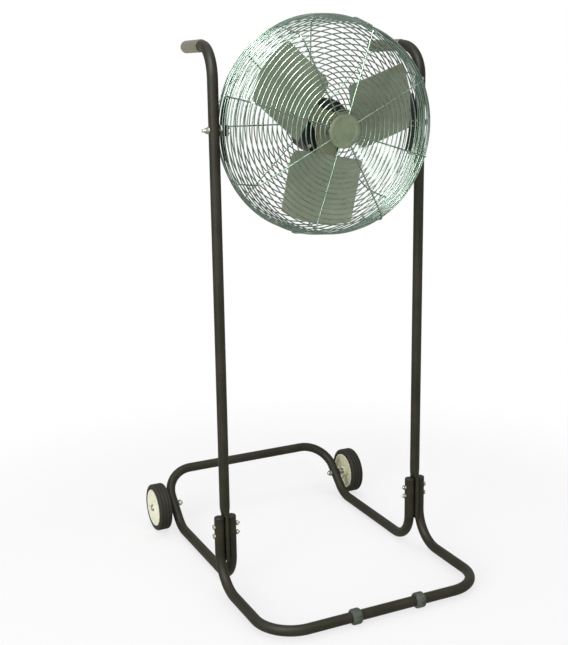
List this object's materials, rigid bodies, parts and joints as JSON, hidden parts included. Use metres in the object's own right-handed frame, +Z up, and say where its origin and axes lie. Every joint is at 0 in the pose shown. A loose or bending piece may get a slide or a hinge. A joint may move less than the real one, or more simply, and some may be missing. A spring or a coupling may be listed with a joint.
{
  "type": "portable stand fan",
  "caption": "Wire-guarded air circulator whose head tilts between the handled uprights of a bent-tube stand on rear wheels.",
  "frame": {"origin": "on the floor, under the middle of the fan's whole footprint", "axes": "+Z up, -Y the way the air leaves, +X to the right as seen from the front"},
  "size_m": [0.6562, 0.832, 1.3925],
  "materials": {
    "tube_paint": "dark brown-black baked enamel",
    "grip_vinyl": "olive-grey soft vinyl",
    "black_plastic": "black moulded plastic",
    "zinc_steel": "zinc plated",
    "dull_steel": "dull machined steel",
    "bumper_rubber": "worn grey-green rubber",
    "tyre_rubber": "black rubber, grooved tread",
    "hub_plastic": "cream moulded plastic",
    "guard_wire": "bright plated wire",
    "badge_paint": "plain sage-green plate",
    "black_steel": "black baked enamel",
    "blade_alloy": "dull olive-grey sheet",
    "spider_steel": "steel dulled to olive brown",
    "lamination": "stacked electrical steel",
    "copper": "enamelled copper wire",
    "bearing_steel": "ground steel"
  },
  "bodies": {
    "stand": {"front_base_tube": "tube_paint", "rear_base_tube": "tube_paint", "left_upright": "tube_paint", "right_upright": "tube_paint", "left_grip": "grip_vinyl", "right_grip": "grip_vinyl", "base_tube_caps": "black_plastic", "joint_bolts": "zinc_steel", "joint_nuts": "zinc_steel", "left_bumper": "bumper_rubber", "right_bumper": "bumper_rubber", "left_axle_bolt": "dull_steel", "right_axle_bolt": "dull_steel", "axle_nuts": "dull_steel", "axle_spacers": "dull_steel"},
    "left_wheel": {"left_tyre": "tyre_rubber", "left_hub": "hub_plastic"},
    "right_wheel": {"right_tyre": "tyre_rubber", "right_hub": "hub_plastic"},
    "fan_head": {"pivot_studs": "dull_steel", "pivot_nuts": "zinc_steel", "pivot_outer_washers": "zinc_steel", "pivot_inner_washers": "dull_steel", "left_pivot_strap": "black_steel", "right_pivot_strap": "black_steel", "pivot_plates": "black_steel", "pivot_plate_wires": "guard_wire", "front_guard_face": "guard_wire", "front_guard_wall": "guard_wire", "front_guard_spokes": "guard_wire", "rear_guard_face": "guard_wire", "rear_guard_wall": "guard_wire", "rear_guard_band": "guard_wire", "rear_guard_spokes": "guard_wire", "guard_badge": "badge_paint", "motor_mount_plate": "black_steel", "motor_mount_bolts": "zinc_steel", "motor_shell": "black_steel", "motor_front_bell": "black_steel", "motor_rear_bell": "black_steel", "motor_through_bolts": "zinc_steel", "stator_core": "lamination", "stator_winding": "copper", "front_bearing": "bearing_steel", "rear_bearing": "bearing_steel", "cord_bushing": "black_plastic"},
    "rotor": {"motor_shaft": "bearing_steel", "rotor_core": "lamination", "blade_hub": "dull_steel", "hub_set_screw": "dull_steel", "blade_spider": "spider_steel", "blade_1": "blade_alloy", "blade_2": "blade_alloy", "blade_3": "blade_alloy", "blade_rivets": "blade_alloy"}
  },
  "joints": [
    {"name": "head_tilt", "type": "hinge", "parent": "stand", "child": "fan_head", "pos_m": [0, -0.09499, 1.133], "axis": [1, 0, 0], "range_deg": [-93.5, 86.5]},
    {"name": "fan_spin", "type": "hinge", "parent": "fan_head", "child": "rotor", "pos_m": [0, -0.09499, 1.133], "axis": [0, -0.9981, -0.061], "continuous": true},
    {"name": "left_wheel_spin", "type": "hinge", "parent": "stand", "child": "left_wheel", "pos_m": [-0.30485, 0.32654, 0.065], "axis": [1, 0, 0], "continuous": true},
    {"name": "right_wheel_spin", "type": "hinge", "parent": "stand", "child": "right_wheel", "pos_m": [0.30485, 0.32654, 0.065], "axis": [1, 0, 0], "continuous": true}
  ]
}
